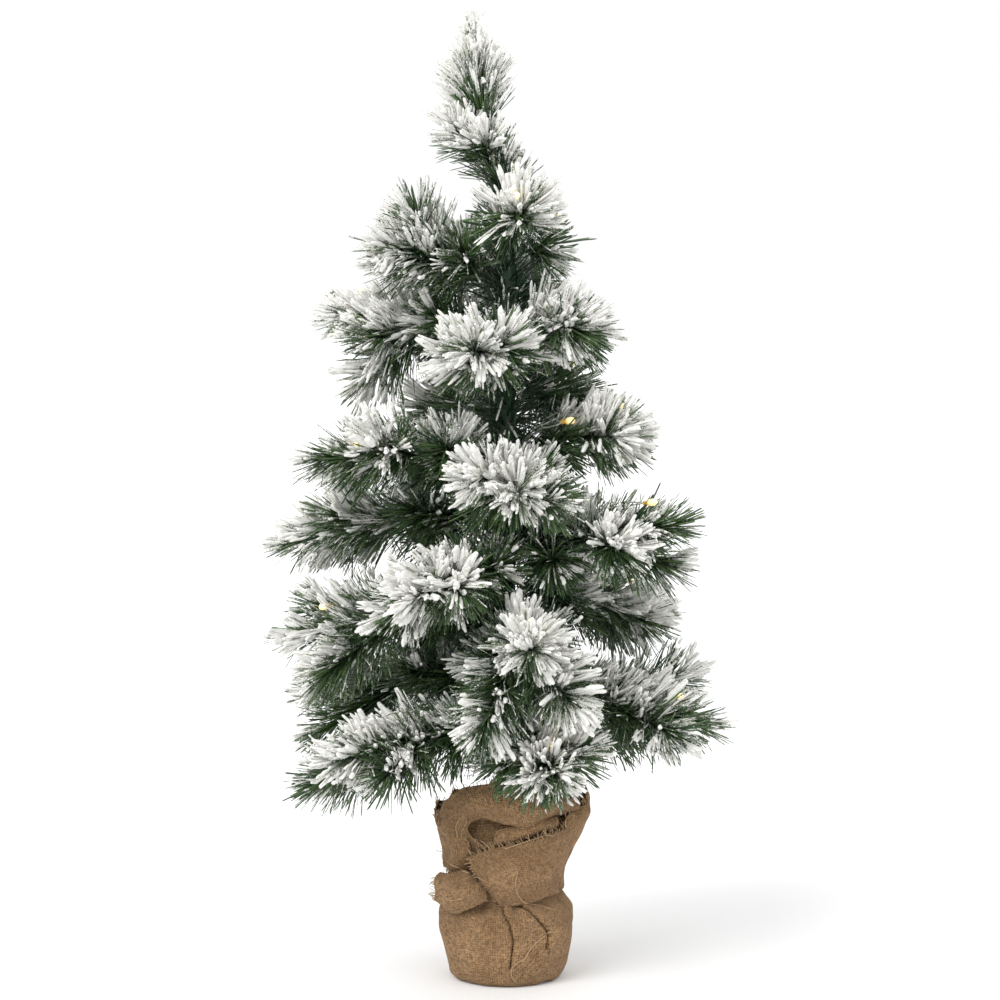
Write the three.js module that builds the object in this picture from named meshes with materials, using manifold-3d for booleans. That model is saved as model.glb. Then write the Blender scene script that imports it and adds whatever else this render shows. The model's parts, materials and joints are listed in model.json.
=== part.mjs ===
// An artificial tabletop tree with wire branches, a light string and a weighted base in a burlap sack.
// Millimetres. +Z is up, the front faces -Y, and the origin is the middle of the sack's underside.
import * as THREE from "three";
import { mergeVertices } from "three/addons/utils/BufferGeometryUtils.js";
import Module from "manifold-3d";

const wasm = await Module();
wasm.setup();

// The gap that pieces which touch keep between them.
const FIT = 0.3;

// The weighted base: a tapered plastic cup filled with cement.
const CUP_FOOT_RADIUS = 31;
const CUP_TOP_RADIUS = 38;
const CUP_HEIGHT = 40;
const CUP_WALL = 2;
const FILL_BELOW_RIM = 3;

// The burlap sack round the cup.
const CLOTH = 1.5;
const CLOTH_SLACK = 2.6;
const FOOT_ROUND = 3;
const SIDE_BULGE = 1;
const NECK_RADIUS = 31;
const NECK_ABOVE_CUP = 12;
const NECK_BAND = 5;
const COLLAR_RADIUS = 46.5;
const COLLAR_HEIGHT = 70;
const COLLAR_LIP_RADIUS = 41;
const COLLAR_FLARE = 21;
const TIE_RADIUS = 1.4;

// The trunk.
const POLE_RADIUS = 3;
const POLE_TOP = 484;
const POLE_SINK = 6;
const WRAP_THICKNESS = 2.2;
const WRAP_BELOW_TOP = 4;

// The branches: a wire stem, and a core of needles round it and round its sprigs.
const ROOT_GAP = 1.5;
const WIRE_RADIUS = 1.1;
const BARE_STEM = 24;
const CORE_RADIUS = 6.2;
const SPRIG_RADIUS = 4.6;
const TIP_RADIUS = 2.2;
const CORE_TAPER = 14;
const CORE_START_SHARE = 0.7;
const FORK_SHARE = 0.4;
const ARCH_SHARE = 0.04;
const CORE_SIDES = 7;
const WIRE_SIDES = 6;

// turn: degrees from the front, positive to the right.
// height: of the root, in percent of the way from the sack's rim to the top of the trunk.
// reach: length in a straight line. rise: degrees above level.
// sprigs: [degrees sideways, degrees above the stem, length].
const BRANCHES = [
  { turn: 18, height: 8, reach: 112, rise: -8, sprigs: [[-14, -10, 58], [30, 12, 58]] },
  { turn: -50, height: 8.9, reach: 138, rise: -4, sprigs: [[-24, -16, 92], [19, -17, 72]] },
  { turn: 144, height: 11.2, reach: 128, rise: -12, sprigs: [[-30, -8, 76], [30, -12, 74]] },
  { turn: 82, height: 14.8, reach: 136, rise: -10, sprigs: [[-32, -4, 76], [26, 26, 74]] },
  { turn: -112, height: 17.8, reach: 146, rise: -9, sprigs: [[-28, -12, 80], [26, -22, 84]] },
  { turn: 8, height: 22.3, reach: 130, rise: 7, sprigs: [[-36, -50, 86], [28, -36, 80]] },
  { turn: -166, height: 26.2, reach: 132, rise: -6, sprigs: [[-30, -12, 74], [26, -10, 74]] },
  { turn: -82, height: 29.5, reach: 143, rise: -8, sprigs: [[-18, 12, 74], [24, -22, 84]] },
  { turn: 116, height: 33.4, reach: 118, rise: -13, sprigs: [[-34, -10, 64], [30, -14, 70]] },
  { turn: -30, height: 36.7, reach: 124, rise: -6, sprigs: [[-28, -16, 70], [28, 4, 62]] },
  { turn: 56, height: 38.8, reach: 134, rise: 11, sprigs: [[-30, -16, 66], [28, -30, 72]] },
  { turn: 162, height: 43.9, reach: 120, rise: -2, sprigs: [[-30, -14, 66], [26, -8, 62]] },
  { turn: -103, height: 45.8, reach: 150, rise: -9, sprigs: [[-16, -6, 82], [22, 14, 66]] },
  { turn: 4, height: 50, reach: 114, rise: 2, sprigs: [[-30, 12, 64], [30, -10, 60]] },
  { turn: -68, height: 55, reach: 134, rise: 1, sprigs: [[-26, -12, 62], [30, 10, 58]] },
  { turn: 78, height: 58, reach: 88, rise: 6, sprigs: [[-32, -6, 56], [28, -14, 54]] },
  { turn: -156, height: 62.8, reach: 108, rise: 2, sprigs: [[-32, -10, 58], [32, -10, 58]] },
  { turn: 130, height: 66.7, reach: 64, rise: 2, sprigs: [[-32, -10, 42], [30, -10, 42]] },
  { turn: -14, height: 71.7, reach: 96, rise: 6, sprigs: [[-30, -8, 50], [34, 8, 50]] },
  { turn: -98, height: 75.6, reach: 114, rise: 9, sprigs: [[-4, -52, 72], [30, -22, 60]] },
  { turn: 56, height: 78, reach: 70, rise: -3, sprigs: [[-32, 12, 40], [40, -8, 42]] },
  { turn: 176, height: 83.9, reach: 80, rise: 12, sprigs: [[-34, -10, 46], [34, -10, 46]] },
  { turn: -66, height: 86.4, reach: 94, rise: 13, sprigs: [[-30, -14, 52], [0, 44, 54]] },
  { turn: 96, height: 90.6, reach: 36, rise: 16, sprigs: [[-36, 8, 28], [34, -10, 28]] },
  { turn: 16, height: 93.9, reach: 54, rise: 22, sprigs: [[-38, -4, 34], [36, 4, 28]] },
];

// The leader, which leans to the left: how far out and up its wire's points are from its root.
const LEADER_ROUTE = [[0, 0], [-9, 24], [-16, 55], [-20, 84], [-23, 114.5]];
const LEADER_BARE = 10;
const LEADER_FORK_SHARE = 0.2;
// [degrees from the front, degrees above level, length]
const LEADER_SPRIGS = [[-70, 38, 44], [-18, 40, 30]];

// The light string: pale wire, and warm white lamps on the branches listed.
const LEAD_RADIUS = 0.6;
const LAMP_RADIUS = 2.2;
const LAMP_LENGTH = 9;
const LAMP_ABOVE_STEM = 15;
const LAMP_SHARE = 0.74;
// where a lamp's lead passes: [share of the stem, share of the lamp's height above it]
const LEAD_ROUTE = [[0.05, 0.2], [0.32, 0.9], [0.5, 1], [LAMP_SHARE, 1]];
const RUN_TURN = -139;
const RUN_PAST_ROOT = 2;
const RUN_BEND = 44;
const RUN_BEND_STEPS = 10;
const LIT_BRANCHES = [1, 2, 4, 6, 8, 9, 11, 13, 16, 20, 22, 24];

// The battery box in the collar, behind the trunk.
const CELL_RADIUS = 5.2;
const CELL_LENGTH = 44.5;
const CELL_COUNT = 3;
const CELL_GAP = 0.6;
const BOX_WALL = 1.5;
const BOX_BEHIND_TRUNK = 3.3;
const BOX_ABOVE_NECK = 7;
const SPRING_ROOM = 1;
const SWITCH_ROOM = 3.2;
const DOOR_THICKNESS = 1.4;
const DOOR_LIP = 1.6;
const GRIP_HALF = 6;
const GRIP_PROUD = 1.2;
const GRIP_BELOW_TOP = [8, 5];
const SWITCH_SIZE = [4, 3.2, 4.6];
const SWITCH_TRAVEL = 4;
const SWITCH_FLANGE = 1.3;
const FLANGE_OVERHANG = [1.5, 1.2];
const SWITCH_PLACE = -8;

// What follows from those.
const SACK_RADIUS = CUP_TOP_RADIUS + CLOTH_SLACK + CLOTH;
const SACK_FOOT_RADIUS = CUP_FOOT_RADIUS + CLOTH_SLACK + CLOTH;
const CUP_FLOOR = CLOTH + FIT;
const CUP_TOP = CUP_FLOOR + CUP_HEIGHT;
const FILL_TOP = CUP_TOP - FILL_BELOW_RIM;
const NECK_HEIGHT = CUP_TOP + NECK_ABOVE_CUP;
const COLLAR_TOP = NECK_HEIGHT + COLLAR_HEIGHT;
const POLE_FOOT = CUP_FLOOR + CUP_WALL + POLE_SINK;
const WRAP_RADIUS = POLE_RADIUS + FIT + WRAP_THICKNESS;
const ROOT_RADIUS = WRAP_RADIUS + ROOT_GAP;
const RUN_RADIUS = WRAP_RADIUS + LEAD_RADIUS + 2 * FIT;
const LEADER_ROOT = POLE_TOP + ROOT_GAP;
const TRUNK_SHOWN = POLE_TOP - COLLAR_TOP;
const SIDES = 24;
const SMALL_SIDES = 12;

const MATERIALS = {
  burlap: { color: 0x9a7a54, roughness: 0.95, metalness: 0 },
  twine: { color: 0x8a6a45, roughness: 0.95, metalness: 0 },
  cup: { color: 0x2b2b2b, roughness: 0.6, metalness: 0 },
  cement: { color: 0xa09c94, roughness: 0.9, metalness: 0 },
  pole: { color: 0x2e4a34, roughness: 0.5, metalness: 0.6 },
  wrap: { color: 0x1f3d28, roughness: 0.7, metalness: 0 },
  needles: { color: 0x5f7d68, roughness: 0.75, metalness: 0 },
  lead: { color: 0xcfd2c4, roughness: 0.4, metalness: 0 },
  lamp: { color: 0xffd98a, roughness: 0.25, metalness: 0 },
  box: { color: 0x24402c, roughness: 0.6, metalness: 0 },
  button: { color: 0x101010, roughness: 0.6, metalness: 0 },
  cell: { color: 0xb08a3c, roughness: 0.35, metalness: 0.7 },
};

const group = new THREE.Group();

function addPart(name, geometry, material) {
  const mesh = new THREE.Mesh(geometry, new THREE.MeshStandardMaterial(MATERIALS[material]));
  mesh.name = name;
  group.add(mesh);
  return mesh;
}

// A three.js geometry as a solid that can be joined and cut.
function solidOf(geometry) {
  const bare = geometry.clone();
  bare.deleteAttribute("normal");
  bare.deleteAttribute("uv");
  const merged = mergeVertices(bare, 1e-4);
  return new wasm.Manifold(
    new wasm.Mesh({
      numProp: 3,
      vertProperties: new Float32Array(merged.attributes.position.array),
      triVerts: new Uint32Array(merged.index.array),
    }),
  );
}

// The solid again as a geometry with flat faces.
function geometryOf(solid) {
  const mesh = solid.getMesh();
  const geometry = new THREE.BufferGeometry();
  geometry.setAttribute("position", new THREE.BufferAttribute(mesh.vertProperties, 3));
  geometry.setIndex(new THREE.BufferAttribute(mesh.triVerts, 1));
  const flat = geometry.toNonIndexed();
  flat.computeVertexNormals();
  return flat;
}

// A profile of [radius, height] points turned round the Z axis.
function turned(profile, sides) {
  const points = profile.map(([radius, height]) => new THREE.Vector2(radius, height));
  return new THREE.LatheGeometry(points, sides).rotateX(Math.PI / 2);
}

function block(low, high) {
  const size = high.map((value, axis) => value - low[axis]);
  const middle = high.map((value, axis) => (value + low[axis]) / 2);
  return new THREE.BoxGeometry(...size).translate(...middle);
}

// A round body of changing radius along a curve. The profile holds [radius, distance along the curve].
function sweptAlong(curve, profile, sides) {
  const points = profile.map(([radius, distance]) => new THREE.Vector2(radius, distance));
  const geometry = new THREE.LatheGeometry(points, sides);
  const position = geometry.attributes.position;
  const length = curve.getLength();
  const side = new THREE.Vector3();
  const over = new THREE.Vector3();
  for (let i = 0; i < position.count; i++) {
    const share = THREE.MathUtils.clamp(position.getY(i) / length, 0, 1);
    const along = curve.getTangentAt(share);
    side.set(-along.y, along.x, 0);
    if (side.length() < 1e-3) side.set(1, 0, 0);
    side.normalize();
    over.crossVectors(side, along);
    const point = curve.getPointAt(share);
    point.addScaledVector(side, position.getX(i)).addScaledVector(over, position.getZ(i));
    position.setXYZ(i, point.x, point.y, point.z);
  }
  return geometry;
}

function direction(turn, rise) {
  const t = THREE.MathUtils.degToRad(turn);
  const r = THREE.MathUtils.degToRad(rise);
  return new THREE.Vector3(Math.sin(t) * Math.cos(r), -Math.cos(t) * Math.cos(r), Math.sin(r));
}

function rootHeight(branch) {
  return COLLAR_TOP + (branch.height / 100) * TRUNK_SHOWN;
}

// The line of a branch's stem: nearly straight, and arched up a little in the middle.
function stemCurve(branch) {
  const start = direction(branch.turn, 0).multiplyScalar(ROOT_RADIUS).setZ(rootHeight(branch));
  const end = start.clone().addScaledVector(direction(branch.turn, branch.rise), branch.reach);
  const middle = start.clone().lerp(end, 0.5);
  middle.z += 2 * ARCH_SHARE * branch.reach;
  return new THREE.QuadraticBezierCurve3(start, middle, end);
}

// The bare stem and the needle core that follows it, as one profile.
function stemProfile(bare, length) {
  const taper = Math.min(CORE_TAPER, (length - bare) / 4);
  return [
    [0, 0],
    [WIRE_RADIUS, 0],
    [WIRE_RADIUS, bare],
    [CORE_RADIUS * CORE_START_SHARE, bare + taper / 2],
    [CORE_RADIUS, bare + taper * 1.5],
    [CORE_RADIUS, length - taper * 1.5],
    [TIP_RADIUS, length],
    [0, length],
  ];
}

function sprigProfile(length) {
  const taper = Math.min(CORE_TAPER, length / 3);
  return [
    [0, 0],
    [SPRIG_RADIUS * CORE_START_SHARE, 0],
    [SPRIG_RADIUS, taper],
    [SPRIG_RADIUS, length - taper],
    [TIP_RADIUS, length],
    [0, length],
  ];
}

function sprigSolid(from, turn, rise, length) {
  const end = from.clone().addScaledVector(direction(turn, rise), length);
  return solidOf(sweptAlong(new THREE.LineCurve3(from, end), sprigProfile(length), CORE_SIDES));
}

function branchGeometry(branch) {
  const curve = stemCurve(branch);
  const profile = stemProfile(BARE_STEM, curve.getLength());
  let solid = solidOf(sweptAlong(curve, profile, CORE_SIDES));
  const fork = curve.getPointAt(FORK_SHARE);
  for (const [yaw, pitch, length] of branch.sprigs)
    solid = solid.add(sprigSolid(fork, branch.turn + yaw, branch.rise + pitch, length));
  return geometryOf(solid);
}

function leaderGeometry() {
  const points = LEADER_ROUTE.map(([out, up]) => new THREE.Vector3(out, 0, LEADER_ROOT + up));
  const curve = new THREE.CatmullRomCurve3(points);
  let solid = solidOf(sweptAlong(curve, stemProfile(LEADER_BARE, curve.getLength()), CORE_SIDES));
  const fork = curve.getPointAt(LEADER_FORK_SHARE);
  for (const [turn, rise, length] of LEADER_SPRIGS)
    solid = solid.add(sprigSolid(fork, turn, rise, length));
  return geometryOf(solid);
}

// A lamp and its lead, which runs out over the stem from the root.
function lightGeometry(branch) {
  const stem = stemCurve(branch);
  const points = LEAD_ROUTE.map(([share, lift]) =>
    stem.getPointAt(share).add(new THREE.Vector3(0, 0, lift * LAMP_ABOVE_STEM)),
  );
  const curve = new THREE.CatmullRomCurve3(points);
  const length = curve.getLength();
  const lamp = length - LAMP_LENGTH;
  const profile = [
    [0, 0],
    [LEAD_RADIUS, 0],
    [LEAD_RADIUS, lamp * 0.25],
    [LEAD_RADIUS, lamp * 0.5],
    [LEAD_RADIUS, lamp * 0.75],
    [LEAD_RADIUS, lamp],
    [LAMP_RADIUS, lamp + 1],
    [LAMP_RADIUS, length - 2],
    [LAMP_RADIUS * 0.5, length],
    [0, length],
  ];
  return sweptAlong(curve, profile, WIRE_SIDES);
}

// Where the battery box stands, from its front at the trunk to its back, and from its foot up.
const cellPitch = 2 * CELL_RADIUS + CELL_GAP;
const insideHalf = (CELL_COUNT * cellPitch) / 2 + CELL_GAP / 2;
const boxHalf = insideHalf + BOX_WALL;
const boxFront = WRAP_RADIUS + BOX_BEHIND_TRUNK;
const cellFront = boxFront + BOX_WALL;
const doorFront = cellFront + 2 * CELL_RADIUS + 2 * CELL_GAP;
const grooveBack = doorFront + DOOR_THICKNESS + 2 * FIT;
const boxBack = grooveBack + BOX_WALL;
const boxFoot = NECK_HEIGHT + BOX_ABOVE_NECK;
const cellFoot = boxFoot + BOX_WALL + SPRING_ROOM;
const roofUnder = cellFoot + CELL_LENGTH + SWITCH_ROOM;
const boxTop = roofUnder + BOX_WALL;
const boxCorner = Math.hypot(boxHalf, boxBack);

// The outer outline of the sack from its underside to its rim. Its collar flares round the battery box.
const SACK_OUTLINE = [
  [SACK_FOOT_RADIUS - FOOT_ROUND, 0],
  [SACK_FOOT_RADIUS, FOOT_ROUND],
  [(SACK_FOOT_RADIUS + SACK_RADIUS) / 2 + SIDE_BULGE, CUP_HEIGHT * 0.38],
  [SACK_RADIUS, CUP_HEIGHT * 0.75],
  [SACK_RADIUS, CUP_TOP],
  [(SACK_RADIUS + NECK_RADIUS) / 2, CUP_TOP + (NECK_ABOVE_CUP - NECK_BAND / 2) * 0.7],
  [NECK_RADIUS, NECK_HEIGHT - NECK_BAND / 2],
  [NECK_RADIUS, NECK_HEIGHT + NECK_BAND / 2],
  [boxCorner / Math.cos(Math.PI / SIDES) + FIT + CLOTH, boxFoot],
  [(NECK_RADIUS + COLLAR_RADIUS) / 2, NECK_HEIGHT + COLLAR_FLARE],
  [COLLAR_RADIUS, NECK_HEIGHT + COLLAR_HEIGHT * 0.68],
  [COLLAR_RADIUS, NECK_HEIGHT + COLLAR_HEIGHT * 0.82],
  [COLLAR_LIP_RADIUS, COLLAR_TOP],
];

function sackGeometry() {
  const inner = SACK_OUTLINE.slice(1).map(([radius, height]) => [radius - CLOTH, height]);
  inner[0][1] += CLOTH / 2;
  const floor = [[CUP_FOOT_RADIUS + 2 * FIT, CLOTH], [0, CLOTH]];
  return turned([[0, 0], ...SACK_OUTLINE, ...inner.reverse(), ...floor], SIDES);
}

function tieGeometry() {
  const ring = NECK_RADIUS + FIT + TIE_RADIUS;
  const profile = [];
  for (let i = 0; i <= 8; i++) {
    const angle = (i * Math.PI) / 4;
    profile.push([ring + TIE_RADIUS * Math.cos(angle), NECK_HEIGHT + TIE_RADIUS * Math.sin(angle)]);
  }
  return turned(profile, SIDES);
}

function cupGeometry() {
  const floorTop = CUP_FLOOR + CUP_WALL;
  const profile = [
    [0, CUP_FLOOR],
    [CUP_FOOT_RADIUS, CUP_FLOOR],
    [CUP_TOP_RADIUS, CUP_TOP],
    [CUP_TOP_RADIUS - CUP_WALL, CUP_TOP],
    [CUP_FOOT_RADIUS - CUP_WALL, floorTop],
    [0, floorTop],
  ];
  return turned(profile, SIDES);
}

function cupInside(height) {
  const share = (height - CUP_FLOOR - CUP_WALL) / (CUP_HEIGHT - CUP_WALL);
  return THREE.MathUtils.lerp(CUP_FOOT_RADIUS, CUP_TOP_RADIUS, share) - CUP_WALL;
}

function fillGeometry() {
  const foot = CUP_FLOOR + CUP_WALL + FIT;
  const socket = POLE_RADIUS + FIT;
  const profile = [
    [0, foot],
    [cupInside(foot) - 2 * FIT, foot],
    [cupInside(FILL_TOP) - 2 * FIT, FILL_TOP],
    [socket, FILL_TOP],
    [socket, POLE_FOOT - FIT],
    [0, POLE_FOOT - FIT],
  ];
  return turned(profile, SIDES);
}

addPart("burlap_sack", sackGeometry(), "burlap");
addPart("neck_tie", tieGeometry(), "twine");
addPart("base_cup", cupGeometry(), "cup");
addPart("cement_fill", fillGeometry(), "cement");

const poleOutline = [[0, POLE_FOOT], [POLE_RADIUS, POLE_FOOT], [POLE_RADIUS, POLE_TOP], [0, POLE_TOP]];
addPart("trunk_pole", turned(poleOutline, SMALL_SIDES), "pole");

const wrapFoot = FILL_TOP + 2 * FIT;
const wrapTop = POLE_TOP - WRAP_BELOW_TOP;
const wrapOutline = [
  [POLE_RADIUS + FIT, wrapFoot],
  [WRAP_RADIUS, wrapFoot],
  [WRAP_RADIUS, wrapTop],
  [POLE_RADIUS + FIT, wrapTop],
  [POLE_RADIUS + FIT, wrapFoot],
];
addPart("trunk_wrap", turned(wrapOutline, SMALL_SIDES), "wrap");

// Battery box: an open-backed case with side grooves for its door, three cells, and a switch in its top.
const slotHalfLength = (SWITCH_SIZE[0] + SWITCH_TRAVEL) / 2 + FIT;
const slotHalfWidth = SWITCH_SIZE[1] / 2 + FIT;
const switchMiddle = (boxFront + doorFront) / 2;

function boxGeometry() {
  const inside = insideHalf;
  const cells = block([-inside, cellFront, boxFoot + BOX_WALL], [inside, doorFront + FIT, roofUnder]);
  const groove = block([-inside, doorFront, boxFoot + BOX_WALL], [inside, grooveBack, boxTop + 1]);
  const lip = inside - DOOR_LIP;
  const window = block([-lip, grooveBack - FIT, boxFoot + BOX_WALL], [lip, boxBack + 1, boxTop + 1]);
  const slot = block(
    [SWITCH_PLACE - slotHalfLength, switchMiddle - slotHalfWidth, roofUnder - FIT],
    [SWITCH_PLACE + slotHalfLength, switchMiddle + slotHalfWidth, boxTop + 1],
  );
  let solid = solidOf(block([-boxHalf, boxFront, boxFoot], [boxHalf, boxBack, boxTop]));
  for (const hollow of [cells, groove, window, slot]) solid = solid.subtract(solidOf(hollow));
  return geometryOf(solid);
}

function doorGeometry() {
  const front = doorFront + FIT;
  const half = insideHalf - FIT;
  const plate = block([-half, front, boxFoot + BOX_WALL + FIT], [half, front + DOOR_THICKNESS, boxTop]);
  const grip = block(
    [-GRIP_HALF, front + DOOR_THICKNESS / 2, boxTop - GRIP_BELOW_TOP[0]],
    [GRIP_HALF, front + DOOR_THICKNESS + GRIP_PROUD, boxTop - GRIP_BELOW_TOP[1]],
  );
  return geometryOf(solidOf(plate).add(solidOf(grip)));
}

// The switch stands at the end of its slot where the lights are off.
function switchGeometry() {
  const [length, width, height] = SWITCH_SIZE;
  const [along, beside] = FLANGE_OVERHANG;
  const left = SWITCH_PLACE - SWITCH_TRAVEL / 2 - length / 2;
  const flangeTop = roofUnder - FIT;
  const stem = block(
    [left, switchMiddle - width / 2, flangeTop - SWITCH_FLANGE],
    [left + length, switchMiddle + width / 2, flangeTop + height],
  );
  const flange = block(
    [left - along, switchMiddle - width / 2 - beside, flangeTop - SWITCH_FLANGE],
    [left + length + along, switchMiddle + width / 2 + beside, flangeTop],
  );
  return geometryOf(solidOf(stem).add(solidOf(flange)));
}

function cellGeometry() {
  const nub = 1;
  const profile = [
    [0, 0],
    [CELL_RADIUS, 0],
    [CELL_RADIUS, CELL_LENGTH - nub],
    [CELL_RADIUS * 0.4, CELL_LENGTH - nub],
    [CELL_RADIUS * 0.4, CELL_LENGTH],
    [0, CELL_LENGTH],
  ];
  return turned(profile, SMALL_SIDES);
}

addPart("battery_box", boxGeometry(), "box");
addPart("battery_door", doorGeometry(), "box");
addPart("battery_switch", switchGeometry(), "button");
for (let i = 0; i < CELL_COUNT; i++) {
  const cell = addPart(`battery_cell_${i + 1}`, cellGeometry(), "cell");
  const place = (i - (CELL_COUNT - 1) / 2) * cellPitch;
  cell.position.set(place, cellFront + CELL_RADIUS + CELL_GAP, cellFoot);
}

// The light string's run up the trunk, from the box to the highest lit branch.
function runGeometry() {
  const beside = direction(RUN_TURN, 0).multiplyScalar(RUN_RADIUS);
  const exit = new THREE.Vector3(-boxHalf * 0.6, boxFront + 3, boxTop + FIT);
  const points = [
    exit,
    exit.clone().add(new THREE.Vector3(0, 0, 5)),
    beside.clone().setZ(boxTop + 16),
    beside.clone().setZ(boxTop + 30),
    beside.clone().setZ(rootHeight(BRANCHES[LIT_BRANCHES.at(-1) - 1]) + RUN_PAST_ROOT),
  ];
  const curve = new THREE.CatmullRomCurve3(points, false, "centripetal");
  const length = curve.getLength();
  const profile = [[0, 0]];
  for (let i = 0; i < RUN_BEND_STEPS; i++)
    profile.push([LEAD_RADIUS, (i / RUN_BEND_STEPS) * RUN_BEND]);
  profile.push([LEAD_RADIUS, length], [0, length]);
  return sweptAlong(curve, profile, WIRE_SIDES);
}
addPart("light_wire", runGeometry(), "lead");

BRANCHES.forEach((branch, i) => {
  const number = String(i + 1).padStart(2, "0");
  addPart(`branch_${number}`, branchGeometry(branch), "needles");
  if (LIT_BRANCHES.includes(i + 1)) addPart(`light_${number}`, lightGeometry(branch), "lamp");
});
addPart("leader", leaderGeometry(), "needles");

export default group;
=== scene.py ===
"""Looks for a flocked artificial tabletop tree: needles, flocking, wires, lamps and a burlap-wrapped base.

Metres, +Z up, the front faces -Y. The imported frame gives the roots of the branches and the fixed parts.
"""
import json
import math
import random

import bmesh
import bpy
import numpy as np
from mathutils.bvhtree import BVHTree
from mathutils import Matrix, Vector, noise


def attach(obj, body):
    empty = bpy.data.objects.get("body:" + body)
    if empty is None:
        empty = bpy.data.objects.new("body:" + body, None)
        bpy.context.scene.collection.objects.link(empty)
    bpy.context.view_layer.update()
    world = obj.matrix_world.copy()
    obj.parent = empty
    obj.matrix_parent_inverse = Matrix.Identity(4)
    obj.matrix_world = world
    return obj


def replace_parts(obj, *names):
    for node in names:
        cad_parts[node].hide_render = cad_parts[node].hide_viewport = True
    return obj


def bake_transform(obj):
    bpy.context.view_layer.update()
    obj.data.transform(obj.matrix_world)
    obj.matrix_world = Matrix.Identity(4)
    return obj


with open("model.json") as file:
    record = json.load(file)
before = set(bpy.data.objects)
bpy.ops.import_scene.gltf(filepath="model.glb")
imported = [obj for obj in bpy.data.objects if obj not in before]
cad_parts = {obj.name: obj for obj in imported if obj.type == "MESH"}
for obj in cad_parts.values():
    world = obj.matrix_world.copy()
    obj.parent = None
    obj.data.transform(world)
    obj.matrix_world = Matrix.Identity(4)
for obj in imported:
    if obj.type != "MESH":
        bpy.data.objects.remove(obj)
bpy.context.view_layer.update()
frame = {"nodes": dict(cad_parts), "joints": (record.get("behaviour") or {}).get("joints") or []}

MM = 0.001
RNG = random.Random(7)
noise.seed_set(7)

# The needles: cut PVC strips.
NEEDLE_LENGTH = 35 * MM
NEEDLE_WIDTH = 1.3 * MM
BUNDLES_PER_MM = 2.4
TIP_REACH = 23 * MM
BARE_STEM = 8 * MM
# how much flock, from 0 to about 1.2, makes a stray lump and then whole fingers of it; its patches per metre
LUMPY = 0.4
HEAVY = 0.54
PATCHES = 44.0
FORK_SHARE = 0.4
# Short sprigs close to the trunk that fill the tree's middle: degrees sideways and above the stem.
INNER_SPRIGS = ((-44, -22), (44, 18))
ARCH_SHARE = 0.04

# Per branch: reach in mm, degrees of rise, its sprigs as (degrees sideways, degrees above the stem, length),
# and how heavily its main tip and its sprigs are flocked, from 0 to 1.
BRANCHES = {
    "branch_01": (112, -8, ((-14, -10, 58), (30, 12, 58)), (0.8, 0.7, 0.5)),
    "branch_02": (138, -4, ((-24, -16, 92), (19, -17, 72)), (0.95, 0.5, 0.35)),
    "branch_03": (128, -12, ((-30, -8, 76), (30, -12, 74)), (0.5, 0.4, 0.5)),
    "branch_04": (136, -10, ((-32, -4, 76), (26, 26, 74)), (0.5, 0.7, 0.4)),
    "branch_05": (146, -9, ((-28, -12, 80), (26, -22, 84)), (0.6, 0.5, 0.5)),
    "branch_06": (130, 7, ((-36, -50, 86), (28, -36, 80)), (1.0, 0.75, 0.8)),
    "branch_07": (132, -6, ((-30, -12, 74), (26, -10, 74)), (0.8, 0.4, 0.5)),
    "branch_08": (143, -8, ((-18, 12, 74), (24, -22, 84)), (0.5, 0.6, 0.4)),
    "branch_09": (118, -13, ((-34, -10, 64), (30, -14, 70)), (0.9, 0.95, 0.5)),
    "branch_10": (124, -6, ((-28, -16, 70), (28, 4, 62)), (1.0, 0.6, 0.9)),
    "branch_11": (134, 11, ((-30, -16, 66), (28, -30, 72)), (0.25, 0.6, 0.5)),
    "branch_12": (120, -2, ((-30, -14, 66), (26, -8, 62)), (0.6, 0.4, 0.5)),
    "branch_13": (150, -9, ((-16, -6, 82), (22, 14, 66)), (0.8, 0.5, 0.6)),
    "branch_14": (114, 2, ((-30, 12, 64), (30, -10, 60)), (1.0, 0.8, 0.5)),
    "branch_15": (134, 1, ((-26, -12, 62), (30, 10, 58)), (0.45, 0.5, 1.0)),
    "branch_16": (88, 6, ((-32, -6, 56), (28, -14, 54)), (1.0, 0.8, 0.4)),
    "branch_17": (108, 2, ((-32, -10, 58), (32, -10, 58)), (0.6, 0.5, 0.5)),
    "branch_18": (64, 2, ((-32, -10, 42), (30, -10, 42)), (0.5, 0.5, 0.4)),
    "branch_19": (96, 6, ((-30, -8, 50), (34, 8, 50)), (1.0, 0.8, 0.8)),
    "branch_20": (114, 9, ((-4, -52, 72), (30, -22, 60)), (1.0, 1.0, 0.9)),
    "branch_21": (70, -3, ((-32, 12, 40), (40, -8, 42)), (1.0, 0.8, 0.6)),
    "branch_22": (80, 12, ((-34, -10, 46), (34, -10, 46)), (0.7, 0.6, 0.6)),
    "branch_23": (94, 13, ((-30, -14, 52), (0, 44, 54)), (0.8, 0.8, 0.25)),
    "branch_24": (36, 16, ((-36, 8, 28), (34, -10, 28)), (0.8, 0.8, 0.5)),
    "branch_25": (54, 22, ((-38, -4, 34), (36, 4, 28)), (1.0, 0.9, 0.9)),
}
WORLD_LIGHT = 0.92

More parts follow.
